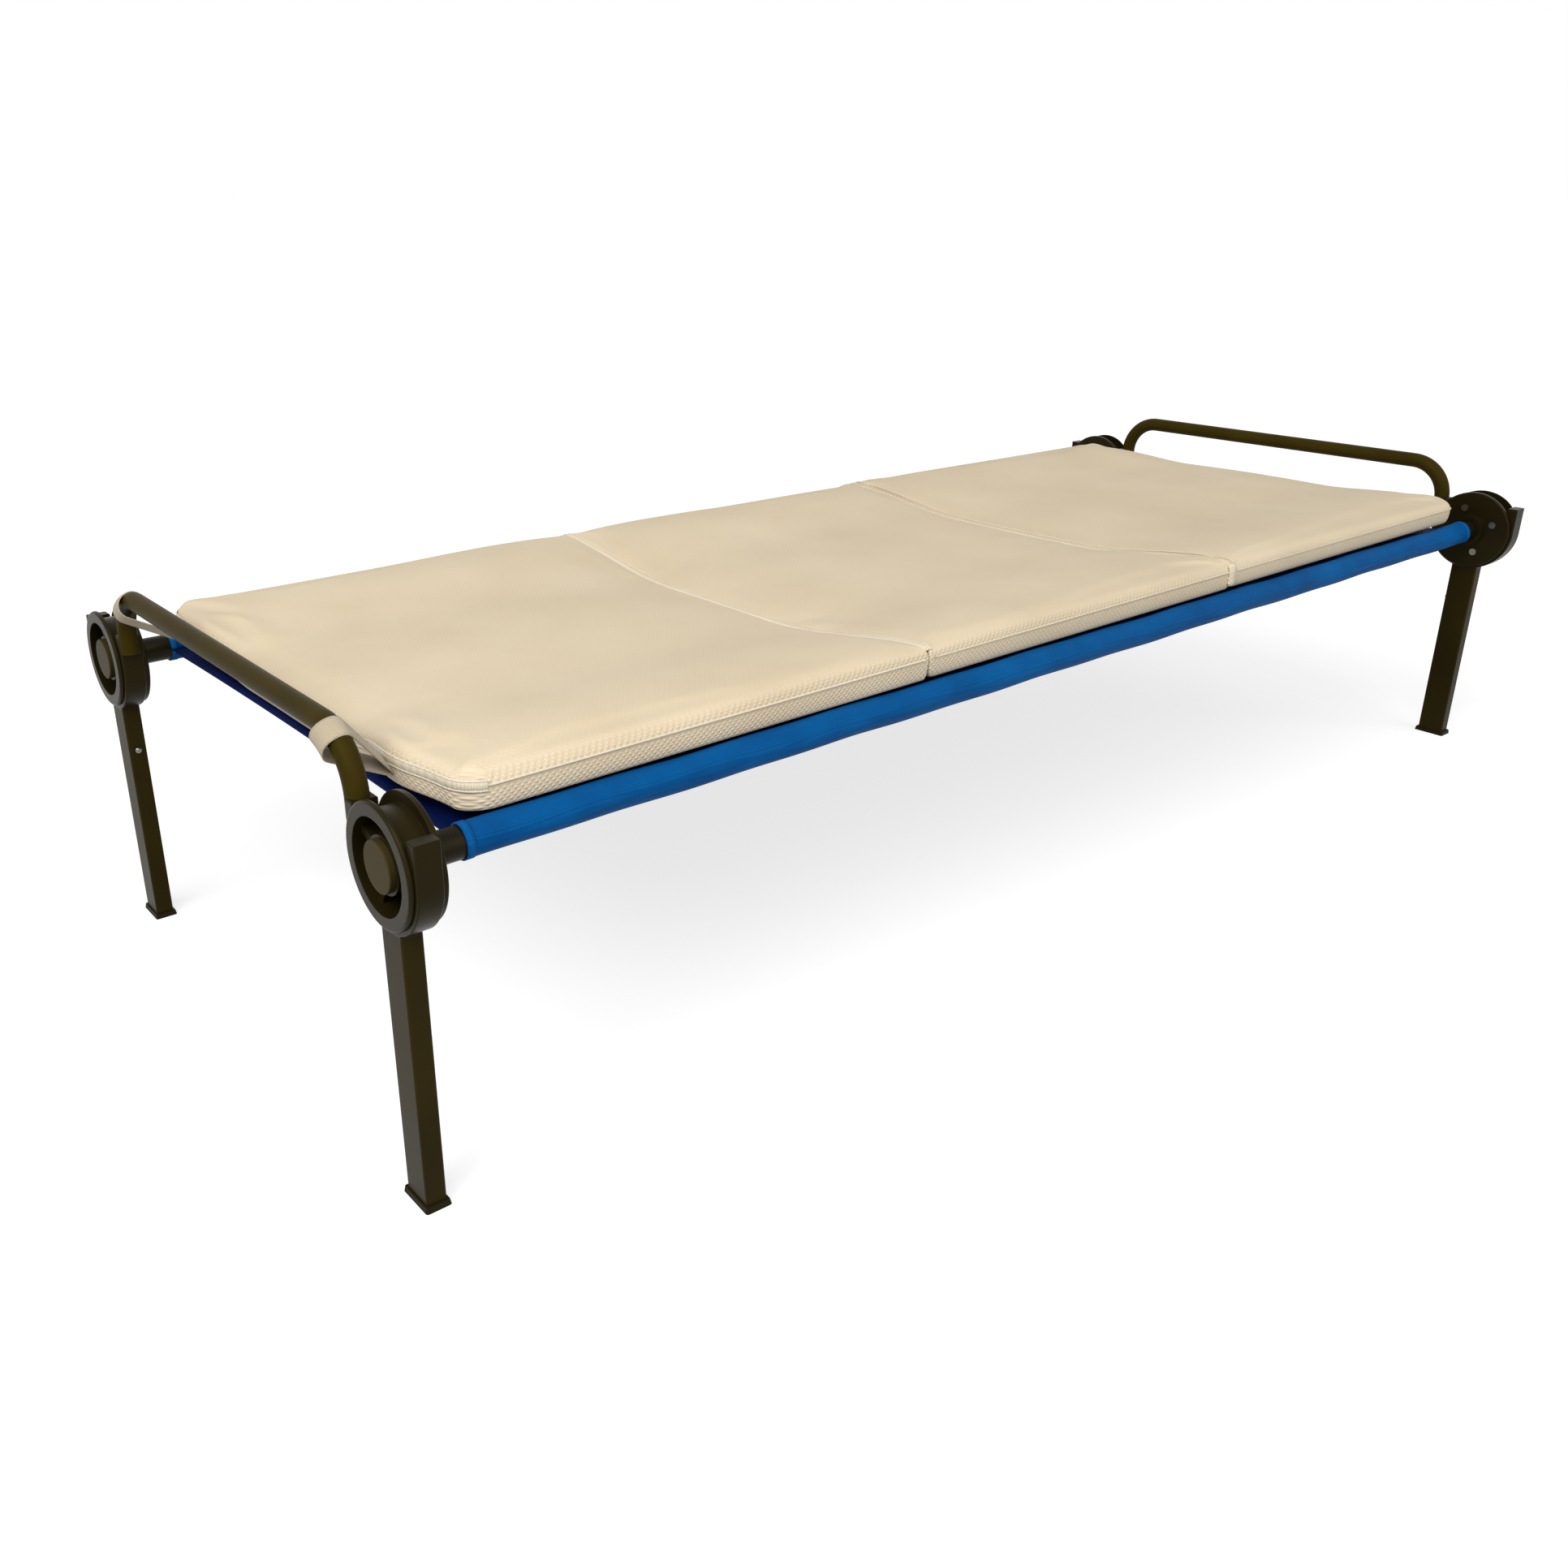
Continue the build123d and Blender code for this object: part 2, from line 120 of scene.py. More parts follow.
def make_cord(name, path, radius, material, around=6):
    """A round cord along a path that never stands upright, with rings square to the path and closed caps."""
    path = np.asarray(path, float)
    ahead = np.gradient(path, axis=0)
    ahead /= np.linalg.norm(ahead, axis=1)[:, None]
    across = np.cross(ahead, (0.0, 0.0, 1.0))
    across /= np.linalg.norm(across, axis=1)[:, None]
    over = np.cross(across, ahead)
    turn = np.arange(around) / around * 2 * math.pi
    ring = np.cos(turn)[None, :, None] * across[:, None, :] + np.sin(turn)[None, :, None] * over[:, None, :]
    points = (path[:, None, :] + radius * ring).reshape(-1, 3)
    faces = grid_faces(len(path), around, close_columns=True)
    faces.append(tuple(range(around)))
    faces.append(tuple(reversed(range((len(path) - 1) * around, len(path) * around))))
    return make_piece(name, points, faces, material)


def thicken(piece, thickness, offset=-1.0):
    """Give a sheet its thickness: on one side of its points, or half on each side when the offset is 0."""
    solid = piece.modifiers.new("thickness", "SOLIDIFY")
    solid.thickness, solid.offset = thickness, offset


def smooth_step(value):
    """0 below 0, 1 above 1 and a soft ramp between."""
    value = np.clip(value, 0, 1)
    return value * value * (3 - 2 * value)


print("a grid of 3 by 4 points has", len(grid_faces(3, 4)), "quads")

# %% [markdown]
# ## Finishes
# Each finish is a node material. The colours are written in sRGB, as the eye reads them, and turned to the
# linear values that the shader wants. Texture comes from object coordinates, so it rides with its piece.

# %% Node helpers
# the mix node's sockets share their names with others, so they go by number
mix_socket = {"factor": 0, "low": 6, "high": 7, "result": 2}


def linear(red, green, blue):
    """sRGB numbers from 0 to 255 as a linear colour."""
    def decode(c):
        c /= 255
        return c / 12.92 if c <= 0.04045 else ((c + 0.055) / 1.055) ** 2.4
    return (decode(red), decode(green), decode(blue), 1.0)


def start_material(name, roughness, metallic=0.0):
    """A new material with its shader and object coordinates ready."""
    material = bpy.data.materials.new(name)
    material.use_nodes = True
    tree = material.node_tree
    shader = tree.nodes["Principled BSDF"]
    shader.inputs["Roughness"].default_value = roughness
    shader.inputs["Metallic"].default_value = metallic
    place = tree.nodes.new("ShaderNodeTexCoord")
    return material, tree, shader, place.outputs["Object"]


def add_node(tree, kind, links=(), **values):
    """A node with sockets set by name, and links given as (output, input name) pairs."""
    node = tree.nodes.new(kind)
    for key, value in values.items():
        if key in node.inputs:
            node.inputs[key].default_value = value
        else:
            setattr(node, key, value)
    for output, socket in links:
        tree.links.new(output, node.inputs[socket])
    return node


def feed(tree, socket, value):
    """Link a socket to a node's output, or set it to a plain value."""
    if hasattr(value, "is_linked"):
        tree.links.new(value, socket)
    else:
        socket.default_value = value


def add_noise(tree, place, scale, detail):
    """Noise texture at a scale per metre."""
    node = add_node(tree, "ShaderNodeTexNoise", [(place, "Vector")], Scale=scale, Detail=detail)
    return node.outputs["Fac"]


def mix_colours(tree, factor, low, high):
    """Blend two colours, or the colours of two nodes, by a factor."""
    node = add_node(tree, "ShaderNodeMix", [(factor, mix_socket["factor"])], data_type="RGBA")
    feed(tree, node.inputs[mix_socket["low"]], low)
    feed(tree, node.inputs[mix_socket["high"]], high)
    return node.outputs[mix_socket["result"]]


def calculate(tree, operation, first, second=0.0):
    """A maths node on sockets or numbers."""
    node = add_node(tree, "ShaderNodeMath", operation=operation)
    for socket, value in zip(node.inputs, (first, second)):
        feed(tree, socket, value)
    return node.outputs[0]


def spread(tree, factor, low, high):
    """Map a 0 to 1 factor to a range."""
    node = add_node(tree, "ShaderNodeMapRange", [(factor, "Value")])
    node.inputs["To Min"].default_value = low
    node.inputs["To Max"].default_value = high
    return node.outputs["Result"]


def add_bump(tree, shader, height, distance, edge=None):
    """Bump into the shader's normal, over softened edges when edge gives their radius."""
    bump = add_node(tree, "ShaderNodeBump", [(height, "Height")], Strength=1.0, Distance=distance)
    if edge:
        soft = add_node(tree, "ShaderNodeBevel", Radius=edge, samples=6)
        tree.links.new(soft.outputs["Normal"], bump.inputs["Normal"])
    tree.links.new(bump.outputs["Normal"], shader.inputs["Normal"])


print("sRGB 128 as a linear value", round(linear(128, 128, 128)[0], 3))

# %% [markdown]
# ### Powder coat, moulded corners and zinc
# The tubes have a satin olive-bronze powder coat with a fine orange peel. The end bars take a paler copy of
# it, painted light for their lit tops, and the bare ends of the side rails a much darker copy, painted shade
# for their shaded sides. The corners are moulded, a little darker than the legs. A plain colour would look
# like toy plastic, so each coat gets two close tones in clouds and a fine grain. Edges that hands rub are
# softened with the bevel node, which catches the light the way a rounded edge does. The coats reflect with a
# warm tint, and only weakly. The bright bits are zinc plate.

# %% Hard finishes
coat_tint = linear(255, 232, 176)
coat_cloud_scale = 9.0


def coated_material(name, dark, light, roughness, gloss, grain, depth, edge):
    """Satin coat: two close tones in clouds, a fine grain, roughness that varies a little."""
    material, tree, shader, place = start_material(name, roughness)
    clouds = add_noise(tree, place, coat_cloud_scale, 5.0)
    fine = add_noise(tree, place, grain, 2.0)
    tone = mix_colours(tree, spread(tree, clouds, -0.4, 1.4), linear(*dark), linear(*light))
    tree.links.new(tone, shader.inputs["Base Color"])
    rough = spread(tree, clouds, roughness - 0.07, roughness + 0.09)
    tree.links.new(rough, shader.inputs["Roughness"])
    shader.inputs["Specular IOR Level"].default_value = gloss
    shader.inputs["Specular Tint"].default_value = coat_tint
    add_bump(tree, shader, fine, depth, edge)
    return material


def zinc_material():
    """Zinc plate: bright metal with fine scratches and dull patches."""
    material, tree, shader, place = start_material("zinc_plate", 0.3, 1.0)
    patches = add_noise(tree, place, 260.0, 6.0)
    tone = mix_colours(tree, patches, linear(96, 94, 86), linear(132, 130, 122))
    tree.links.new(tone, shader.inputs["Base Color"])
    tree.links.new(spread(tree, patches, 0.2, 0.42), shader.inputs["Roughness"])
    add_bump(tree, shader, add_noise(tree, place, 1800.0, 2.0), 0.00008)
    return material


bar_coat = coated_material(
    "bronze_powder_coat", (31, 25, 6), (44, 36, 10),
    roughness=0.36, gloss=0.06, grain=1500.0, depth=0.00012, edge=0.0008,
)
housing_coat = coated_material(
    "moulded_corner", (24, 20, 6), (36, 29, 11),
    roughness=0.3, gloss=0.09, grain=2400.0, depth=0.0001, edge=0.0012,
)
cap_plastic = coated_material(
    "moulded_cap", (52, 44, 22), (62, 53, 28),
    roughness=0.42, gloss=0.04, grain=2200.0, depth=0.00008, edge=0.0008,
)
foot_plastic = coated_material(
    "moulded_foot", (26, 22, 11), (36, 31, 17),
    roughness=0.5, gloss=0.06, grain=1200.0, depth=0.0002, edge=0.001,
)
# the side rails take a much darker copy of the powder coat: painted shade for their shaded sides
rail_coat = coated_material(
    "rail_coat", (16, 15, 10), (24, 23, 16),
    roughness=0.34, gloss=0.12, grain=1500.0, depth=0.0001, edge=0.0008,
)
# the end bars take a paler, more olive copy of the powder coat: painted light for their lit tops
end_bar_coat = coated_material(
    "end_bar_coat", (46, 38, 8), (62, 51, 15),
    roughness=0.36, gloss=0.025, grain=1500.0, depth=0.00012, edge=0.0008,
)
zinc = zinc_material()
hard_finishes = (bar_coat, housing_coat, cap_plastic, foot_plastic, rail_coat, end_bar_coat, zinc)
print("hard finishes", [finish.name for finish in hard_finishes])

# %% [markdown]
# ### Woven deck cloth, bubble knit and webbing
# The deck is a coated plain weave, so two crossed bands make its bump: navy between the rails and bright blue
# where it wraps them. The pad's knit has rows of small bubbles: two diagonal bands multiplied give bumps in a
# staggered grid, as the knit's stitches do. On the sides they stand up, and where the cover lies level it is
# stretched nearly flat. Webbing has ribs across its width. A picture of cloth would repeat and need its own
# layout, and these bands need none.

# %% Cloth finishes
weave_pitch = 0.0014
top_pitch = 0.0052
top_slant = math.radians(38)
side_pitch = 0.0038
side_stretch = 1.2


def add_bands(tree, place, pitch, direction, turn=(0.0, 0.0, 0.0), scale=(1.0, 1.0, 1.0)):
    """Smooth bands with a pitch in metres along a direction of turned or scaled coordinates."""
    turned = add_node(tree, "ShaderNodeMapping", [(place, "Vector")], Rotation=turn, Scale=scale)
    links = [(turned.outputs["Vector"], "Vector")]
    node = add_node(tree, "ShaderNodeTexWave", links, bands_direction=direction)
    node.inputs["Scale"].default_value = math.pi / (10 * pitch)
    return node.outputs["Fac"]


def deck_cloth_material(name, sleeve, sheet):
    """Coated weave: bright blue round the rails, navy between them, with soft fading and painted shade along
    the weave's bands.
    """
    material, tree, shader, place = start_material(name, 0.52)
    warp, weft = (add_bands(tree, place, weave_pitch, direction) for direction in "XY")
    weave = calculate(tree, "ADD", warp, weft)
    clouds = add_noise(tree, place, 14.0, 6.0)
    # the weave's bands darken its hollows in the colour as painted shade, over cloud tones
    shade = calculate(tree, "ADD", calculate(tree, "MULTIPLY", weave, 0.18), clouds)
    shade = spread(tree, shade, -0.5, 1.1)
    sleeve_tone = mix_colours(tree, shade, linear(*sleeve[0]), linear(*sleeve[1]))
    sheet_tone = mix_colours(tree, shade, linear(*sheet[0]), linear(*sheet[1]))
    across = add_node(tree, "ShaderNodeSeparateXYZ", [(place, "Vector")]).outputs["Y"]
    from_middle = calculate(tree, "ABSOLUTE", across)
    on_sleeve = calculate(tree, "GREATER_THAN", from_middle, rail_y - sleeve_radius)
    tree.links.new(mix_colours(tree, on_sleeve, sheet_tone, sleeve_tone), shader.inputs["Base Color"])
    shader.inputs["Specular IOR Level"].default_value = 0.05
    add_bump(tree, shader, weave, 0.00025)
    return material


def knit_material(name, low, high, depth):
    """Bubble knit: staggered bumps with painted shade between them that leaves their tops paler, stretched
    flatter where the cover lies level.
    """
    material, tree, shader, place = start_material(name, 0.85)
    slants = [(0.0, 0.0, slant) for slant in (top_slant, -top_slant)]
    top = calculate(tree, "MULTIPLY", *(add_bands(tree, place, top_pitch, "X", turn=turn) for turn in slants))
    leans = [(1.0, 1.0, stretch) for stretch in (side_stretch, -side_stretch)]
    bands = (add_bands(tree, place, side_pitch, "DIAGONAL", scale=scale) for scale in leans)
    side = calculate(tree, "MULTIPLY", *bands)
    yarn = add_noise(tree, place, 700.0, 3.0)
    clouds = add_noise(tree, place, 5.0, 4.0)
    facing = tree.nodes.new("ShaderNodeNewGeometry")
    slope = add_node(tree, "ShaderNodeSeparateXYZ", [(facing.outputs["Normal"], "Vector")])
    level = calculate(tree, "MULTIPLY", slope.outputs["Z"], slope.outputs["Z"])
    upright = calculate(tree, "MULTIPLY", side, spread(tree, level, 1.0, 0.0))
    flat = calculate(tree, "MULTIPLY", top, spread(tree, level, 0.0, 0.2))
    bubbles = calculate(tree, "ADD", upright, flat)
    height = calculate(tree, "ADD", bubbles, calculate(tree, "MULTIPLY", yarn, 0.3))
    # the bubbles also tint the colour: painted shade between them, paler on their tops
    shade = calculate(tree, "ADD", calculate(tree, "MULTIPLY", bubbles, 0.5), clouds)
    tone = mix_colours(tree, spread(tree, shade, -0.35, 1.0), linear(*low), linear(*high))
    tree.links.new(tone, shader.inputs["Base Color"])
    shader.inputs["Sheen Weight"].default_value = 0.08
    shader.inputs["Sheen Roughness"].default_value = 0.6
    add_bump(tree, shader, height, depth)
    return material


def webbing_material(name, low, high, pitch, direction):
    """Woven tape with ribs across it, and painted shade in the grooves between the ribs."""
    material, tree, shader, place = start_material(name, 0.8)
    ribs = add_bands(tree, place, pitch, direction)
    cross = add_bands(tree, place, pitch * 0.6, "Z")
    height = calculate(tree, "ADD", ribs, calculate(tree, "MULTIPLY", cross, 0.5))
    # the ribs also tint the colour: painted shade in the grooves, paler on the ribs
    tone = mix_colours(tree, spread(tree, height, 0.0, 0.9), linear(*low), linear(*high))
    tree.links.new(tone, shader.inputs["Base Color"])
    shader.inputs["Sheen Weight"].default_value = 0.2
    add_bump(tree, shader, height, 0.0003)
    return material


deck_cloth = deck_cloth_material("deck_cloth", ((0, 64, 121), (1, 91, 154)), ((3, 15, 58), (7, 26, 82)))
# the hem's paler blues are the deck cloth's tones lifted as a painted highlight
hem_cloth = deck_cloth_material("hem_cloth", ((3, 78, 141), (12, 101, 166)), ((5, 22, 74), (10, 35, 98)))
pad_knit = knit_material("bubble_knit", (205, 187, 156), (224, 207, 178), 0.0008)
fold_tape = knit_material("fold_tape", (216, 199, 169), (232, 217, 190), 0.0006)
strap_webbing = webbing_material("strap_webbing", (158, 143, 117), (188, 172, 146), 0.0016, "Y")
zip_tape = webbing_material("zip_tape", (206, 191, 163), (224, 211, 186), 0.0022, "X")
thread = webbing_material("pad_thread", (222, 210, 184), (236, 226, 204), 0.0012, "X")
deck_thread = webbing_material("deck_thread", (60, 118, 182), (98, 150, 205), 0.0012, "X")
soft_finishes = (deck_cloth, hem_cloth, pad_knit, fold_tape, strap_webbing, zip_tape, thread, deck_thread)
print("cloth finishes", [finish.name for finish in soft_finishes])

# %% [markdown]
# ## Finishing the rigid pieces
# The rigid nodes keep their CAD shape. Each takes the finish that its slot in the record names, apart from
# the rails, which take a darker copy of the legs' coat as painted shade, and the end bars, which take a paler
# copy as painted light. Round faces are shaded smooth while corners stay crisp.

# %% Dress the rigid nodes
slot_finish = {
    "bar_coat": bar_coat,
    "housing_coat": housing_coat,
    "cap_plastic": cap_plastic,
    "foot_plastic": foot_plastic,
    "zinc": zinc,
    "deck_cloth": deck_cloth,
    "pad_knit": pad_knit,
    "foam": fold_tape,
    "strap_webbing": strap_webbing,
}
# rails take the painted-shade copy of the coat, end bars the painted-light copy
tube_painted_light_finish = {"side_rail": rail_coat, "foot_end_bar": end_bar_coat, "head_end_bar": end_bar_coat}
crisp_angle = math.radians(32)
for subpart in frame["record"]["subparts"]:
    mesh = nodes[subpart["node"]].data
    mesh.materials.clear()
    finish = slot_finish[subpart["material_slot"]]
    for start, tube_painted_light_coat in tube_painted_light_finish.items():
        if subpart["node"].startswith(start):
            finish = tube_painted_light_coat
    mesh.materials.append(finish)
    mesh.polygons.foreach_set("use_smooth", [True] * len(mesh.polygons))
    mesh.set_sharp_from_angle(angle=crisp_angle)

# %% [markdown]
# ### Leaf springs
# The leaf springs inside the legs bend when a button is pressed. Each is copied to a mesh of its own, which
# takes the place of its rigid piece.

# %% Leaf springs as meshes of their own
bpy.context.view_layer.update()
for end_name in ("foot", "head"):
    for side_name, side in sides.items():
        corner = f"{end_name}_{side_name}"
        node = nodes[f"button_spring_{corner}"]
        spring_points = [node.matrix_world @ vertex.co for vertex in node.data.vertices]
        spring_faces = [tuple(face.vertices) for face in node.data.polygons]
        spring = make_piece(f"leaf_spring_{corner}", spring_points, spring_faces, zinc)
        spring.data.set_sharp_from_angle(angle=crisp_angle)
        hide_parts(node.name)
        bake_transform(spring)
        print("leaf spring", corner, len(spring_points), "points")

# %% [markdown]
# ## The pad sections
# A foam pad in a knit cover is a soft block: flat where it lies on the deck, riding up over the rails at its
# sides, dished in the middle, rounded at its edges. One way is to sculpt it. Here it is a grid over its plan:
# a mid surface plus and minus a half thickness that falls away towards the outline as a rounded edge does.
# These are its sizes in metres: the roundness of each edge, the dip beside each fold, the pull of the straps
# at the foot end, and the thinner head end with its drawn-in corners.

# %% Sizes of the pad
rest_gap = 0.0003
pad_thickness = pad_crest - (rail_z + sleeve_radius) - rest_gap
cover_allowance = 0.0012
seam_height = 0.58
side_round = {
    "foot": {"top": 0.021, "bottom": 0.005},
    "middle": {"top": 0.023, "bottom": 0.009},
    "head": {"top": 0.026, "bottom": 0.014},
}
end_round = {"foot": {"top": 0.021, "bottom": 0.005}, "head": {"top": 0.013, "bottom": 0.01}}
fold_round = {"top": {"foot": 0.004, "head": 0.006}, "bottom": {"foot": 0.013, "head": 0.004}}
edge_power = 3.0
outer_corner = 0.034
rail_lift = pad_crest - pad_bottom - pad_thickness
ride_lead = 0.045
ride_start = rail_y - sleeve_radius - ride_lead
ride_width = 0.034
dish_start = 0.13
fold_x = {"foot": pad_box["middle"][0].x, "head": pad_box["middle"][1].x}
hinge_dip = {"foot": 0.017, "head": 0.008}
hinge_spread = 0.085
hinge_fade = 0.8
bar_bend_radius = 0.057
bend_start = bar_high.y - bar_radius - bar_bend_radius
strap_inset = 0.003
strap_y = bend_start + strap_inset
tug_reach = 0.13
tug_width = {"left": 0.055, "right": 0.07}
tug_out = {"left": 0.014, "right": 0.01}
tug_lead = 0.13
tug_start = strap_y - tug_lead
head_thin = 0.005
head_crown = 0.003
head_tuck = 0.022
head_tuck_reach = 0.12
head_tuck_start = 0.2
print("pad", round(pad_thickness, 4), "thick, lifted", round(rail_lift, 4), "over the rails")

# %% [markdown]
# ### How the pad gives
# Each way in which the pad departs from a flat block is a function of the place on its plan. Small functions
# that add up are easier to tune against a photograph than one long formula.

# %% Give of the pad
def dense_ends(count, power=0.62):
    """Numbers from -1 to 1 that crowd together towards both ends."""
    t = np.linspace(-1, 1, count)
    return np.sign(t) * (1 - (1 - np.abs(t)) ** (1 / power))


def rounded(gap):
    """How full a rounded edge is at a gap from the outline, where 1 is past the rounding."""
    return (1 - (1 - np.clip(gap, 0, 1)) ** edge_power) ** (1 / edge_power)


def near_foot_end(x):
    """1 at the pad's foot end, falling to 0 where the straps no longer lift it."""
    return smooth_step(1 - (x - pad_box["foot"][0].x) / tug_reach)


def floor_under(x, y):
    """The pad's underside: flat on the deck, up and over the sleeves, and lifted by the straps at its end."""
    ride = smooth_step((np.abs(y) - ride_start) / ride_width)
    lift = near_foot_end(x) * smooth_step((np.abs(y) - tug_start) / (strap_y - tug_start))
    return pad_bottom + rail_lift * np.maximum(ride, lift)


def dished_floor(y):
    """The long hollow that a sleeper leaves: low in the middle of the bed, up at the rails."""
    rise = smooth_step((np.abs(y) - dish_start) / (ride_start + ride_width - dish_start))
    return pad_bottom + rail_lift * rise


def valley_at_folds(x, y):
    """The dip of the pad's top beside its two fold seams, deepest in the middle of the bed."""
    depth = 0.0
    for end, dip in hinge_dip.items():
        near = np.exp(-(((x - fold_x[end]) / hinge_spread) ** 2))
        depth = depth + dip * near * (1 - hinge_fade * (np.abs(y) / pad_half_width) ** 2)
    return depth


def strap_tug(x, y):
    """How far the straps draw the cover's foot end out towards the bar."""
    out, width = (np.where(y < 0, tug["left"], tug["right"]) for tug in (tug_out, tug_width))
    return out * near_foot_end(x) * np.exp(-(((np.abs(y) - strap_y) / width) ** 2))


def thinner_head(x, y):
    """How much thinner the pad is towards its head end, at its sides more than in the middle."""
    along = smooth_step((x - fold_x["head"]) / (pad_box["head"][1].x - fold_x["head"]))
    across = np.abs(y) / pad_half_width
    return along * (head_thin * smooth_step(across) - head_crown * (1 - across**2))


def corner_tuck(x, y):
    """How far the cover's head corners are drawn back."""
    near_end = smooth_step(1 - (pad_box["head"][1].x - x) / head_tuck_reach)
    near_side = smooth_step((np.abs(y) - head_tuck_start) / (pad_half_width - head_tuck_start))
    return head_tuck * near_end * near_side


print("dip at the foot fold", round(float(valley_at_folds(fold_x["foot"], 0.0)), 4))

# %% [markdown]
# ### Building the sections
# The top and the bottom of a section are the same grid at two heights, and share the points of its outline,
# which later carries the seams and the zip. So each section is one closed skin of quads, as a sewn cover is.

# %% Build the pads
def pad_plan(name, rows, columns):
    """Plan grid of one section, with the roundness of its top and of its underside from 0 to 1."""
    low, high = pad_box[name]
    x = (low.x + high.x) / 2 + dense_ends(rows) * (high.x - low.x) / 2
    to_end = {"foot": x - low.x, "head": high.x - x}
    pull = np.zeros(rows)
    if name in to_end:
        inside = np.clip(outer_corner - to_end[name], 0, outer_corner)
        pull = outer_corner - np.sqrt(outer_corner**2 - inside**2)
    half = (pad_half_width - pull)[:, None]
    grid_x = np.repeat(x[:, None], columns, 1)
    grid_y = half * dense_ends(columns)[None, :]
    fullness = {}
    for face, edge in side_round[name].items():
        full = rounded((half - np.abs(grid_y)) / edge)
        for end, gap in to_end.items():
            end_edge = end_round[end][face] if name == end else fold_round[face][end]
            full = full * rounded(gap / end_edge)[:, None]
        fullness[face] = full
    return grid_x, grid_y, fullness["top"], fullness["bottom"]


def make_pad(name, rows=66, columns=84):
    """One pad section as a closed quad mesh, with its grid of points, outline ring and sewn points."""
    x, y, full_top, full_bottom = pad_plan(name, rows, columns)
    floor = floor_under(x, y)
    seam = floor + seam_height * pad_thickness
    thickness = pad_thickness - cover_allowance - thinner_head(x, y) - valley_at_folds(x, y)
    top = seam + full_top * (np.maximum(dished_floor(y), floor) + thickness - seam)
    bottom = seam - full_bottom * seam_height * pad_thickness
    x = x - strap_tug(x, y) - corner_tuck(x, y)
    upper = np.stack([x, y, top], -1).reshape(-1, 3)
    lower = np.stack([x, y, bottom], -1).reshape(-1, 3)
    count = rows * columns
    index = np.arange(count).reshape(rows, columns)
    border = np.zeros((rows, columns), bool)
    border[0], border[-1], border[:, 0], border[:, -1] = True, True, True, True
    inner = np.flatnonzero(~border.reshape(-1))
    twin = index.reshape(-1).copy()
    twin[inner] = count + np.arange(len(inner))
    faces = [face[::-1] for face in grid_faces(rows, columns)]
    faces += [tuple(int(twin[i]) for i in reversed(face)) for face in faces]
    pad = make_piece(f"pad_{name}", np.concatenate([upper, lower[inner]]), faces, pad_knit)
    ring = list(index[0]) + list(index[1:, -1]) + list(index[-1, -2::-1]) + list(index[-2:0:-1, 0])
    ring = [int(i) for i in ring]
    sewn = sorted(set(ring) | set(range(count, count + len(inner))))
    return {"piece": pad, "grid": index, "ring": ring, "sewn": sewn}


pads = {}
for name in pad_box:
    pads[name] = make_pad(name)
    print("pad", name, len(pads[name]["piece"].data.vertices), "points")


def pad_points(name, order):
    """The places of some of a section's points, in the order given."""
    vertices = pads[name]["piece"].data.vertices
    return np.array([vertices[int(i)].co for i in order])


# %% [markdown]
# ### Filling the covers
# The knit is sewn to its outline and lies on the deck, so those points are pinned. Pressure then lifts the
# loose top until it is taut. The movement is capped, and eased off below the height at which the folded
# sections meet, so that the covers never press into each other.

# %% Cloth pressure
fill_cap = {"foot": 0.0045, "middle": 0.0045, "head": 0.003}
fill_steps = 16
fill_pressure = 2.5
crest_ease = 0.003


def fill_cover(pad, sewn, cap):
    """Inflate a pad's loose top with cloth pressure and keep the result, moved no further than the cap."""
    before = np.array([v.co for v in pad.data.vertices])
    pins = pad.vertex_groups.new(name="sewn")
    pins.add(sewn, 1.0, "REPLACE")
    cloth = pad.modifiers.new("cover", "CLOTH")
    settings = cloth.settings
    settings.vertex_group_mass = "sewn"
    settings.quality = 4
    settings.mass = 0.4
    settings.tension_stiffness = settings.compression_stiffness = 20
    settings.bending_stiffness = 2.0
    settings.use_pressure = True
    settings.uniform_pressure_force = fill_pressure
    settings.effector_weights.gravity = 0
    cloth.collision_settings.use_collision = False
    scene = bpy.context.scene
    for step in range(1, fill_steps + 1):
        scene.frame_set(step)
    filled = pad.evaluated_get(bpy.context.evaluated_depsgraph_get())
    after = np.array([v.co for v in filled.data.vertices])
    pad.modifiers.remove(cloth)
    pad.vertex_groups.remove(pins)
    scene.frame_set(1)
    move = after - before
    size = np.linalg.norm(move, axis=1)
    move *= np.minimum(1, cap / np.maximum(size, 1e-9))[:, None]
    shaped = before + move
    over = np.maximum(shaped[:, 2] - (pad_crest - crest_ease), 0)
    shaped[:, 2] -= over - crest_ease * np.tanh(over / crest_ease)
    pad.data.vertices.foreach_set("co", shaped.reshape(-1))
    pad.data.update()
    return float(size.max())


for name, pad in pads.items():
    moved = fill_cover(pad["piece"], pad["sewn"], fill_cap[name])
    print("filled", name, "moved up to", round(moved * 1000, 1), "mm before the cap")

# %% [markdown]
# ### Edge seams and zip
# A sewn edge runs round each cover, a little above half height, where the top panel meets the side. Across
# the foot end it opens with a zip: a flat tape with a cord along each edge. Both could be bump in the knit,
# but real cords catch the light at the outline too, so they are thin meshes along the cover's own points.

# %% Edge seams and zip
pad_body = {"foot": "deck", "middle": "pad_middle", "head": "pad_head"}
edge_seam_radius = {"foot": 0.0012, "middle": 0.0009, "head": 0.0007}
edge_seam_step = 0.008
fold_clearance = 0.004
shortest_run = 8
zip_half = 0.0048
zip_proud = 0.0006
zip_sink = 0.0008
zip_thickness = 0.0014
zip_taper = 0.8
zip_turn = 0.03
zip_step = 0.006
zip_cord_radius = 0.0011


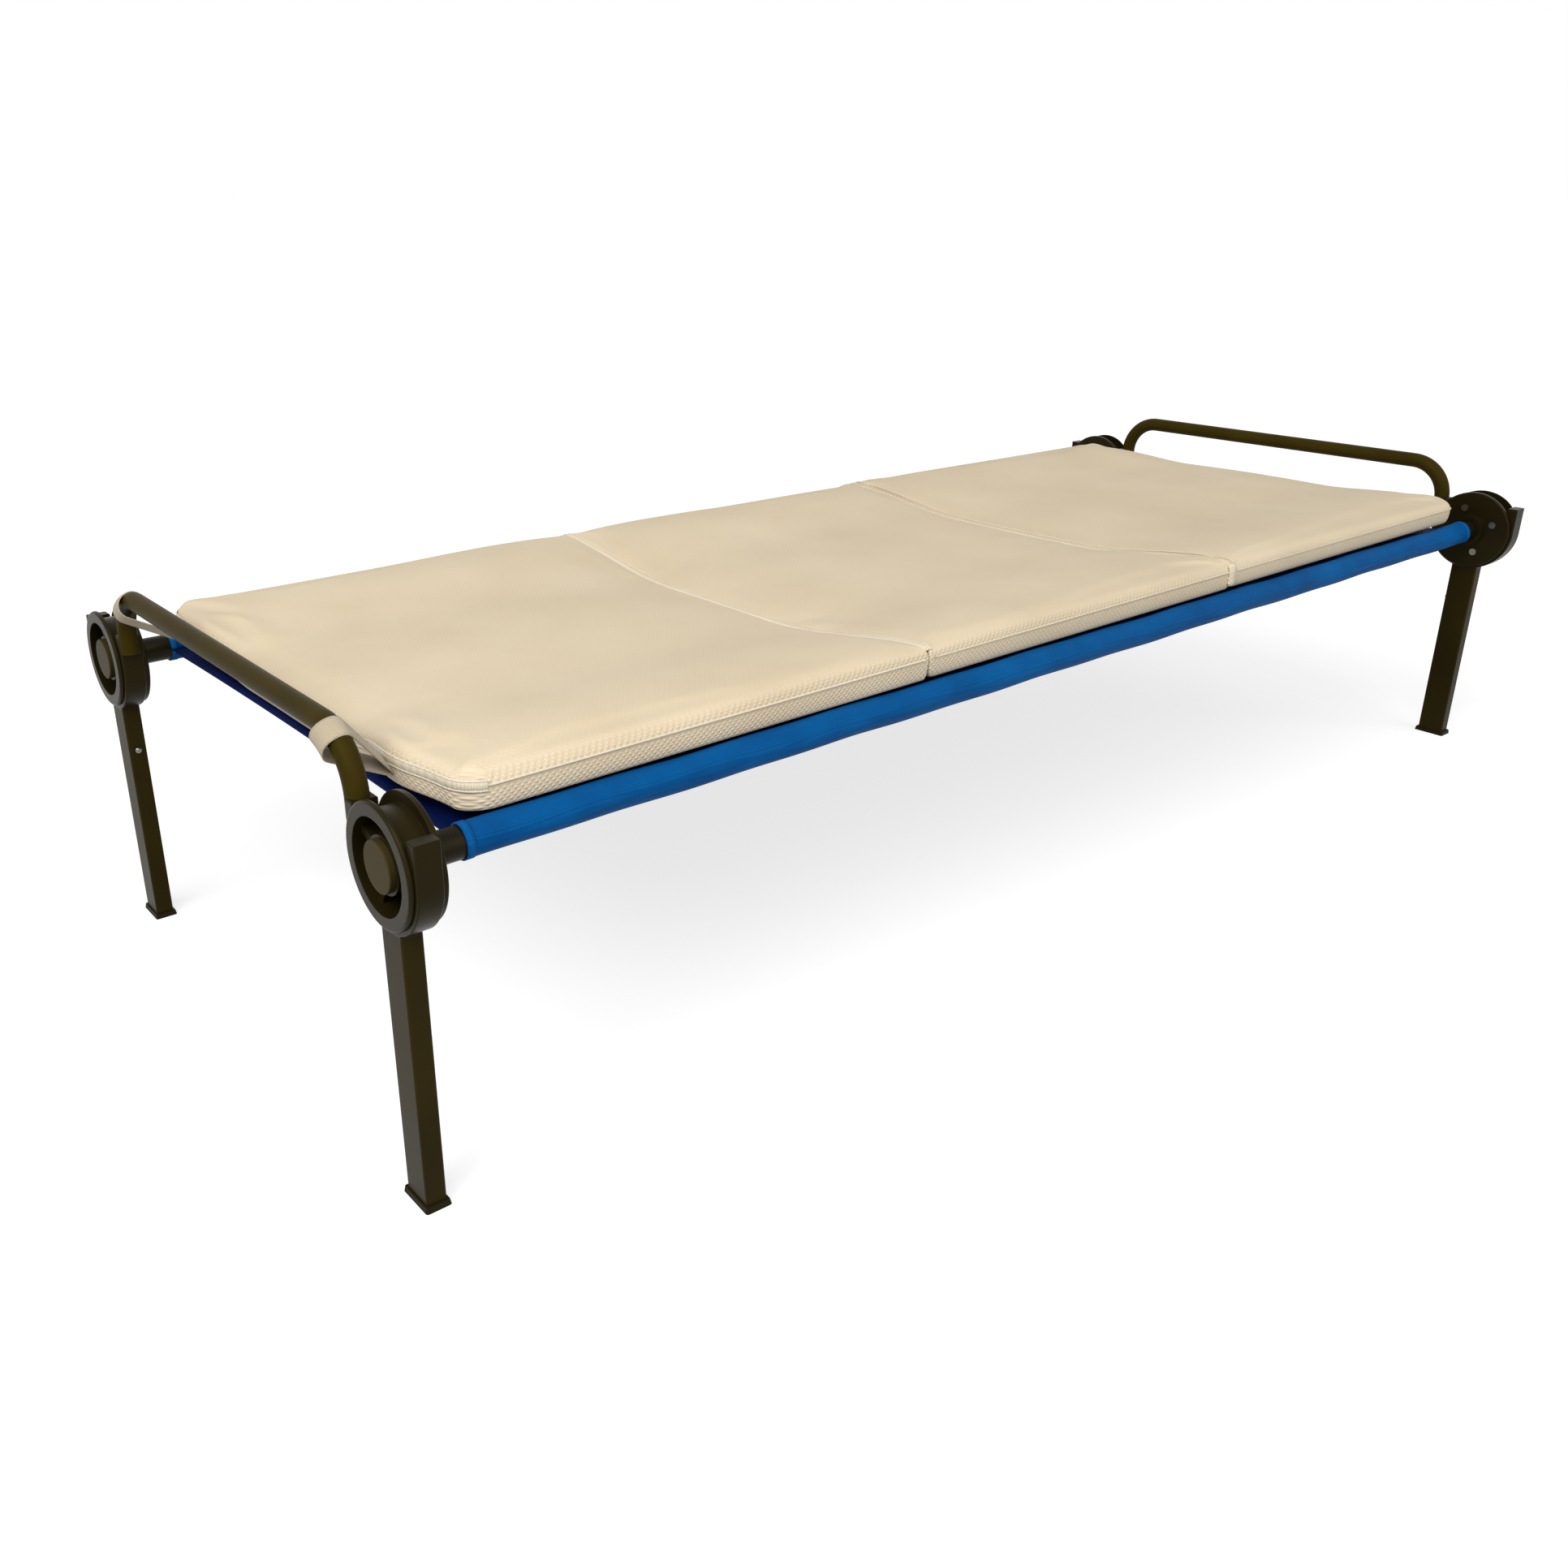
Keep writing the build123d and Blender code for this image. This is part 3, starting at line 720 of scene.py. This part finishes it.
def outline_run(name):
    """A section's outline, and which of its points show: not those on the faces that meet at the folds."""
    points = pad_points(name, pads[name]["ring"])
    keep = np.ones(len(points), bool)
    for x in fold_x.values():
        keep &= np.abs(points[:, 0] - x) > fold_clearance
    return points, keep


def split_runs(points, keep):
    """Cut a closed ring of points into the runs that are kept."""
    start = int(np.flatnonzero(~keep)[0])
    order = np.roll(np.arange(len(points)), -start)
    runs, run = [], []
    for i in order:
        if keep[i]:
            run.append(points[i])
        elif run:
            runs.append(np.array(run))
            run = []
    if run:
        runs.append(np.array(run))
    return [r for r in runs if len(r) > shortest_run]


def even_path(path, step, count=0):
    """The same path with points an even step apart, or an even count of points."""
    lengths = np.concatenate([[0], np.cumsum(np.linalg.norm(np.diff(path, axis=0), axis=1))])
    places = np.linspace(0, lengths[-1], count or max(shortest_run, int(lengths[-1] / step)))
    return np.stack([np.interp(places, lengths, path[:, k]) for k in range(3)], -1)


def side_band(name, path, lift, half, thickness, material):
    """A thin tape that stands on edge along a path, just outside it."""
    ahead = np.gradient(path, axis=0)
    outward = np.stack([ahead[:, 1], -ahead[:, 0], 0 * ahead[:, 0]], -1)
    outward /= np.linalg.norm(outward, axis=1)[:, None]
    if np.sum((path - path.mean(0)) * outward) < 0:
        outward = -outward
    up = np.array([0, 0, 1.0])
    face, rim = lift + thickness, half * zip_taper
    corners = [(lift, -half), (face, -rim), (face, rim), (lift, half)]
    points = np.stack([path + outward * o + up * u for o, u in corners], 1).reshape(-1, 3)
    return make_piece(name, points, grid_faces(len(path), len(corners)), material), outward


for name in pads:
    points, keep = outline_run(name)
    for k, run in enumerate(split_runs(points, keep)):
        path = even_path(run, edge_seam_step)
        edge = make_cord(f"edge_seam_{name}_{k}", path, edge_seam_radius[name], thread)
        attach(edge, pad_body[name])

points, keep = outline_run("foot")
at_foot = keep & (points[:, 0] < pad_box["foot"][0].x + zip_turn)
path = even_path(split_runs(points, at_foot)[0], zip_step)
lift = zip_proud - zip_sink
tape, outward = side_band("zip_tape", path, lift, zip_half, zip_thickness, zip_tape)
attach(tape, "deck")
for edge, height in (("upper", zip_half), ("lower", -zip_half)):
    rim = path + outward * zip_proud + np.array([0, 0, height])
    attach(make_cord(f"zip_{edge}", rim, zip_cord_radius, thread), "deck")
print("zip with", len(path), "points along it")

# %% [markdown]
# ### Fold seams and tabs
# The sections are joined by sewn strips: over the top at the foot fold and underneath at the head fold, so
# that the pad folds in a zigzag. The upper strip lies across the foot fold, between two sections. The lower
# strip's ends turn up over the pad's sides as small pale tabs, and only those show.

# %% Fold seams
seam_row = 2
seam_radius = 0.0012
strip_thickness = 0.0012
strip_bow = 0.0008
strip_proud = 0.0006
pad_fold_gap = pad_box["head"][0].x - pad_box["middle"][1].x
side_seam = pad_bottom + rail_lift + seam_height * pad_thickness


def fold_row(name, end):
    """The points of a section's top, one small step in from the fold at its given end."""
    index = pads[name]["grid"]
    row = index[seam_row] if end == "foot" else index[-1 - seam_row]
    return pad_points(name, row[2:-2])


for end, before, after in (("foot", "foot", "middle"), ("head", "middle", "head")):
    rows = {before: fold_row(before, "head"), after: fold_row(after, "foot")}
    for name, row in rows.items():
        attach(make_cord(f"seam_{end}_{name}", row, seam_radius, thread), pad_body[name])
    if end == "foot":
        near, beyond = rows[before], rows[after]
        bowed = (near + beyond) / 2 + (0, 0, strip_bow)
        outer = [near + (0, 0, strip_proud), bowed, beyond + (0, 0, strip_proud)]
        points = np.stack(outer, 1).reshape(-1, 3)
        strip = make_piece("fold_strip", points, grid_faces(len(near), len(outer)), fold_tape)
        thicken(strip, strip_thickness)
        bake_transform(strip)
print("fold seams with", len(row), "points each")

# %% Fold tabs
tab_half = 0.008
tab_rise = {"low": -0.019, "high": 0.011}
tab_rows, tab_columns = 9, 7
tab_tuck = 0.004
tab_swell = 0.0016
tab_proud = 0.0002
for side_name, side in sides.items():
    tab_x = np.linspace(-tab_half, tab_half, tab_columns) + fold_x["head"] + pad_fold_gap / 2
    swell = tab_swell * np.cos((tab_x - tab_x.mean()) / tab_half * math.pi / 2)
    tab_points = []
    for height in np.linspace(tab_rise["low"], tab_rise["high"], tab_rows):
        tuck = tab_tuck * (max(0.0, height) / tab_rise["high"]) ** 2
        for x, bulge in zip(tab_x, swell):
            tab_points.append((x, side * (pad_half_width + tab_proud + bulge - tuck), side_seam + height))
    tab_faces = grid_faces(tab_rows, tab_columns)
    tab = make_piece(f"fold_tab_{side_name}", tab_points, tab_faces, fold_tape)
    thicken(tab, strip_thickness)
    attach(tab, "pad_head")
    print("fold tab", side_name, len(tab_points), "points")

# %% [markdown]
# ### Finishing the pads
# One level of subdivision softens the skin. Each section then takes the place of its CAD cover and foam, and
# rides on the body that carries it.

# %% Finish the pads
for name in pads:
    pad = pads[name]["piece"]
    smooth = pad.modifiers.new("soften", "SUBSURF")
    smooth.levels = smooth.render_levels = 1
    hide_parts(f"pad_cover_{name}", f"pad_foam_{name}")
    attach(pad, pad_body[name])
    print("pad", name, "rides on", pad_body[name])

# %% [markdown]
# ## The deck
# The deck is one blue sheet. Each long edge goes round a rail and is sewn back to itself, so the sheet is
# drawn as one strip of cloth: round the left rail, across, and round the right rail. A cloth simulation
# could drape it, but a sheet that is stretched between rails has its shape from them. Slack cloth on a tube
# is never a true circle, so the sleeves get a small ripple along their length. The end edges are drawn in
# between the rails, as the edge of a tight sheet is, and the sheet reaches a little further than its solid.

# %% Deck sheet
sheet_thickness = 0.0011
sheet_sag = 0.0025
sleeve_turns = 40
sleeve_ripple = 0.0004
sleeve_gap = 0.0004
span_columns = 60
deck_rows = 180
deck_reach = {"foot": 0.006, "head": 0.015}
deck_ends = {"foot": -deck_end - deck_reach["foot"], "head": deck_end + deck_reach["head"]}
scoop_depth = 0.008
scoop_reach = 0.1


def deck_line(x, proud=0.0):
    """The sheet's cross-section at one place along the bed, or of a hem that stands proud of it."""
    turn = np.linspace(0, 2 * math.pi, sleeve_turns)
    slack = sleeve_ripple * (np.sin(turn * 3 + x * 17) + np.sin(x * 41 + turn))
    radius = sleeve_radius - sheet_thickness - sleeve_gap + slack + proud
    span = np.linspace(-1, 1, span_columns)
    reach = rail_y - sleeve_radius + sheet_thickness
    sag = sheet_sag * (1 - span**2)
    left = np.stack([-rail_y + radius * np.cos(turn), rail_z + radius * np.sin(turn)], -1)
    across = np.stack([span * reach, rail_z - sag - proud], -1)
    right = np.stack([rail_y - radius * np.cos(turn), rail_z - radius * np.sin(turn)], -1)
    return np.concatenate([left, across[1:-1], right])


def deck_row(x, proud=0.0):
    """One row of the sheet's points, drawn in between the rails where the row is near an end."""
    line = deck_line(x, proud)
    pull = scoop_depth * (1 - np.clip(np.abs(line[:, 0]) / rail_y, 0, 1) ** 2)
    near_foot = smooth_step(1 - (x - deck_ends["foot"]) / scoop_reach)
    near_head = smooth_step(1 - (deck_ends["head"] - x) / scoop_reach)
    return [(x + shift, y, z) for (y, z), shift in zip(line, pull * (near_foot - near_head))]


def deck_piece(name, places, material, proud=0.0):
    """A strip of the sheet, with a row of points at each place along the bed."""
    rows = [deck_row(x, proud) for x in places]
    faces = grid_faces(len(rows), len(rows[0]))
    piece = make_piece(name, [point for row in rows for point in row], faces, material)
    thicken(piece, sheet_thickness, offset=0)
    return piece


deck_x = np.linspace(deck_ends["foot"], deck_ends["head"], deck_rows)
deck = deck_piece("deck_cloth", deck_x, deck_cloth)
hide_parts("deck_sheet")
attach(deck, "deck")

# %% [markdown]
# ### Hems and rows of stitches
# Each end of the sheet is turned over into a hem, which is the same strip again, a little proud, and paler as
# a painted highlight along the hem.
# Two rows of stitches hold each sleeve shut. They ride on the deck's body with the sheet, since they move as
# it does.

# %% Deck hems
hem_width = 0.009
hem_proud = 0.0008
stitch_rows = 2
stitch_inset = 0.004
stitch_pitch = 0.006
stitch_radius = 0.0006
stitch_sink = 0.0004
for end_name, end in deck_ends.items():
    inward = -math.copysign(hem_width, end)
    hem_x = [end + inward, end + inward / 2, end]
    hem = deck_piece(f"deck_hem_{end_name}", hem_x, hem_cloth, hem_proud)
    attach(hem, "deck")
stitch_z = rail_z - sheet_thickness / 2 - stitch_sink
for side_name, side in sides.items():
    for k in range(stitch_rows):
        stitch_y = side * (rail_y - sleeve_radius - stitch_inset - stitch_pitch * k)
        stitches = [(x, stitch_y, stitch_z) for x in deck_x]
        row = make_cord(f"deck_seam_{side_name}_{k}", stitches, stitch_radius, deck_thread)
        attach(row, "deck")

# %% [markdown]
# ## The straps
# Two beige webbing loops tie the pad to the foot bar. Each goes round the bar, where the bar starts to bend,
# and back to the pad's end, where its two ends are sewn together. A curve with a flat profile could make
# them, but it twists where it likes. Here the path is the belt round a large and a small circle, repeated
# across the strap's width and leaned over with the bend.

# %% Foot straps
strap_thickness = 0.0013
strap_width = 0.026
strap_columns = 9
strap_turn = math.radians(26)
strap_sag = 0.009
strap_gap = 0.0012
tail_radius = 0.0026
tail_gap = 0.003
tail_rise = 0.036
belt_steps = 60


def belt_path(centre_a, radius_a, centre_b, radius_b, sag, steps=26):
    """Closed belt round two circles in the XZ plane, slack under the first one."""
    a, b = np.array(centre_a), np.array(centre_b)
    along = math.atan2(b[1] - a[1], b[0] - a[0])
    lean = math.acos((radius_a - radius_b) / np.linalg.norm(b - a))
    big = np.linspace(along + lean, along + 2 * math.pi - lean, steps)
    small = np.linspace(along - lean, along + lean, steps // 2)
    loose = radius_a + sag * smooth_step(np.linspace(-0.6, 1, steps))
    first = a + loose[:, None] * np.stack([np.cos(big), np.sin(big)], -1)
    second = b + radius_b * np.stack([np.cos(small), np.sin(small)], -1)
    return np.concatenate([first, second])


for side_name, side in sides.items():
    strap_tail = (pad_box["foot"][0].x - tug_out[side_name] - tail_gap, pad_bottom + tail_rise)
    columns = []
    for w in np.linspace(-strap_width / 2, strap_width / 2, strap_columns):
        sink = w**2 / (2 * bar_bend_radius)
        belt = belt_path((bar_x, bar_z - sink), bar_radius + strap_gap, strap_tail, tail_radius, strap_sag)
        belt = np.stack([belt[:, 0], 0 * belt[:, 0] + w, belt[:, 1] - bar_z + bar_bend_radius], -1)
        columns.append(even_path(np.concatenate([belt, belt[:1]]), 0, belt_steps + 1)[:-1])
    bend_centre = Matrix.Translation((0, side * bend_start, bar_z - bar_bend_radius))
    turn = bend_centre @ Matrix.Rotation(-side * strap_turn, 4, "X")
    points = [turn @ Vector(point) for point in np.stack(columns, 1).reshape(-1, 3)]
    faces = grid_faces(belt_steps, len(columns), close_rows=True)
    strap = make_piece(f"strap_{side_name}", points, faces, strap_webbing)
    thicken(strap, strap_thickness)
    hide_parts(f"pad_strap_{side_name}")
    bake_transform(strap)
    print("strap", side_name, len(points), "points")

# %% [markdown]
# ## Camera
# The camera stands where the photograph was taken from: worked out from the cot's own corners. Its focal
# length and centre are in the photograph's pixels, so they are turned to Blender's lens and shift.

# %% Camera
photo_size = 1932
photo_focal = 1731.6
photo_centre = (831.2, 952.6)
camera_place = Vector((-1.47039, -1.39235, 0.90012))
camera_forward = Vector((0.56185, 0.73182, -0.38571)).normalized()
camera_right = Vector((0.79058, -0.61228, -0.0101)).normalized()
camera_up = camera_right.cross(camera_forward)
lens = bpy.data.cameras.new("photo_camera")
lens.sensor_width = 36.0
lens.lens = photo_focal / photo_size * lens.sensor_width
lens.shift_x = (photo_size / 2 - photo_centre[0]) / photo_size
lens.shift_y = -(photo_size / 2 - photo_centre[1]) / photo_size
camera = bpy.data.objects.new("photo_camera", lens)
camera_axes = Matrix((camera_right, camera_up, -camera_forward)).transposed().to_4x4()
camera.matrix_world = Matrix.Translation(camera_place) @ camera_axes
bpy.context.scene.collection.objects.link(camera)
bpy.context.scene.camera = camera
print("lens", round(lens.lens, 2), "mm, shift", round(lens.shift_x, 4), round(lens.shift_y, 4))

# %% [markdown]
# ## Light
# A soft sky, a wide key lamp from the foot side and a wide fill lamp from the long side light the cot. A
# round panel close to the foot end makes that end a little brighter than the head. Suns keep the same
# strength all along the bed, which a near lamp would not.

# %% Lamps
sun_distance = 3


def place_lamp(lamp, place, aim):
    """Stand a lamp at a place and turn it to shine along a direction."""
    holder = bpy.data.objects.new(lamp.name, lamp)
    holder.location = place
    holder.rotation_mode = "QUATERNION"
    holder.rotation_quaternion = Vector(aim).to_track_quat("-Z", "Y")
    bpy.context.scene.collection.objects.link(holder)
    print("lamp", lamp.name, lamp.energy)


def add_sun(name, direction, softness, strength):
    """A soft sun that shines from a direction, given as the way towards it."""
    lamp = bpy.data.lights.new(name, "SUN")
    lamp.angle, lamp.energy = math.radians(softness), strength
    place_lamp(lamp, Vector(direction) * sun_distance, -Vector(direction))


def add_panel(name, place, target, size, power):
    """A round soft lamp that stands at a place and is aimed at a target."""
    lamp = bpy.data.lights.new(name, "AREA")
    lamp.shape, lamp.size, lamp.energy = "DISK", size, power
    place_lamp(lamp, place, Vector(target) - Vector(place))


add_sun("key", (-0.66, -0.15, 0.74), softness=35, strength=1.22)
add_sun("fill", (0.1, -0.85, 0.52), softness=60, strength=1.3)
add_panel("foot_panel", (-2.2, -1.2, 2.0), (-0.6, 0.0, pad_crest), size=1.6, power=30)

# %% [markdown]
# ## Sky and floor
# The background is white to the eye, and that includes what gloss reflects. If it lit the cot as strongly,
# everything pale would burn out, so Light Path tells the two apart. The floor glows the same way under its
# own grey, so that it is white where nothing shades it and still keeps the cot's soft shadow.

# %% Sky and floor
white = (1, 1, 1, 1)
sky_light = 0.28
floor_grey = 0.42
floor_glow = 0.72
floor_half = 60.0


def seen_directly(tree):
    """1 on rays that show a surface, straight, by gloss or through glass, and 0 on those that light one."""
    rays = tree.nodes.new("ShaderNodeLightPath").outputs
    seen = calculate(tree, "MAXIMUM", rays["Is Camera Ray"], rays["Is Glossy Ray"])
    return calculate(tree, "MAXIMUM", seen, rays["Is Transmission Ray"])


def floor_material():
    """White floor that keeps a soft shadow: full white where nothing shades it."""
    material, tree, shader, _ = start_material("white_floor", 0.9)
    shader.inputs["Base Color"].default_value = (floor_grey, floor_grey, floor_grey, 1)
    shader.inputs["Specular IOR Level"].default_value = 0.0
    glow = add_node(tree, "ShaderNodeEmission", Color=white)
    tree.links.new(spread(tree, seen_directly(tree), 0.0, floor_glow), glow.inputs["Strength"])
    both = tree.nodes.new("ShaderNodeAddShader")
    tree.links.new(shader.outputs["BSDF"], both.inputs[0])
    tree.links.new(glow.outputs["Emission"], both.inputs[1])
    tree.links.new(both.outputs["Shader"], tree.nodes["Material Output"].inputs["Surface"])
    return material


world = bpy.data.worlds.new("studio")
bpy.context.scene.world = world
world.use_nodes = True
sky_tree = world.node_tree
sky = sky_tree.nodes["Background"]
sky.inputs["Color"].default_value = white
sky_tree.links.new(spread(sky_tree, seen_directly(sky_tree), sky_light, 1.0), sky.inputs["Strength"])

floor_corners = [(x * floor_half, y * floor_half, 0) for x, y in ((-1, -1), (1, -1), (1, 1), (-1, 1))]
floor = make_piece("floor", floor_corners, [(0, 1, 2, 3)], floor_material())
bpy.context.scene.view_settings.view_transform = "Standard"
print("floor", 2 * floor_half, "m wide")
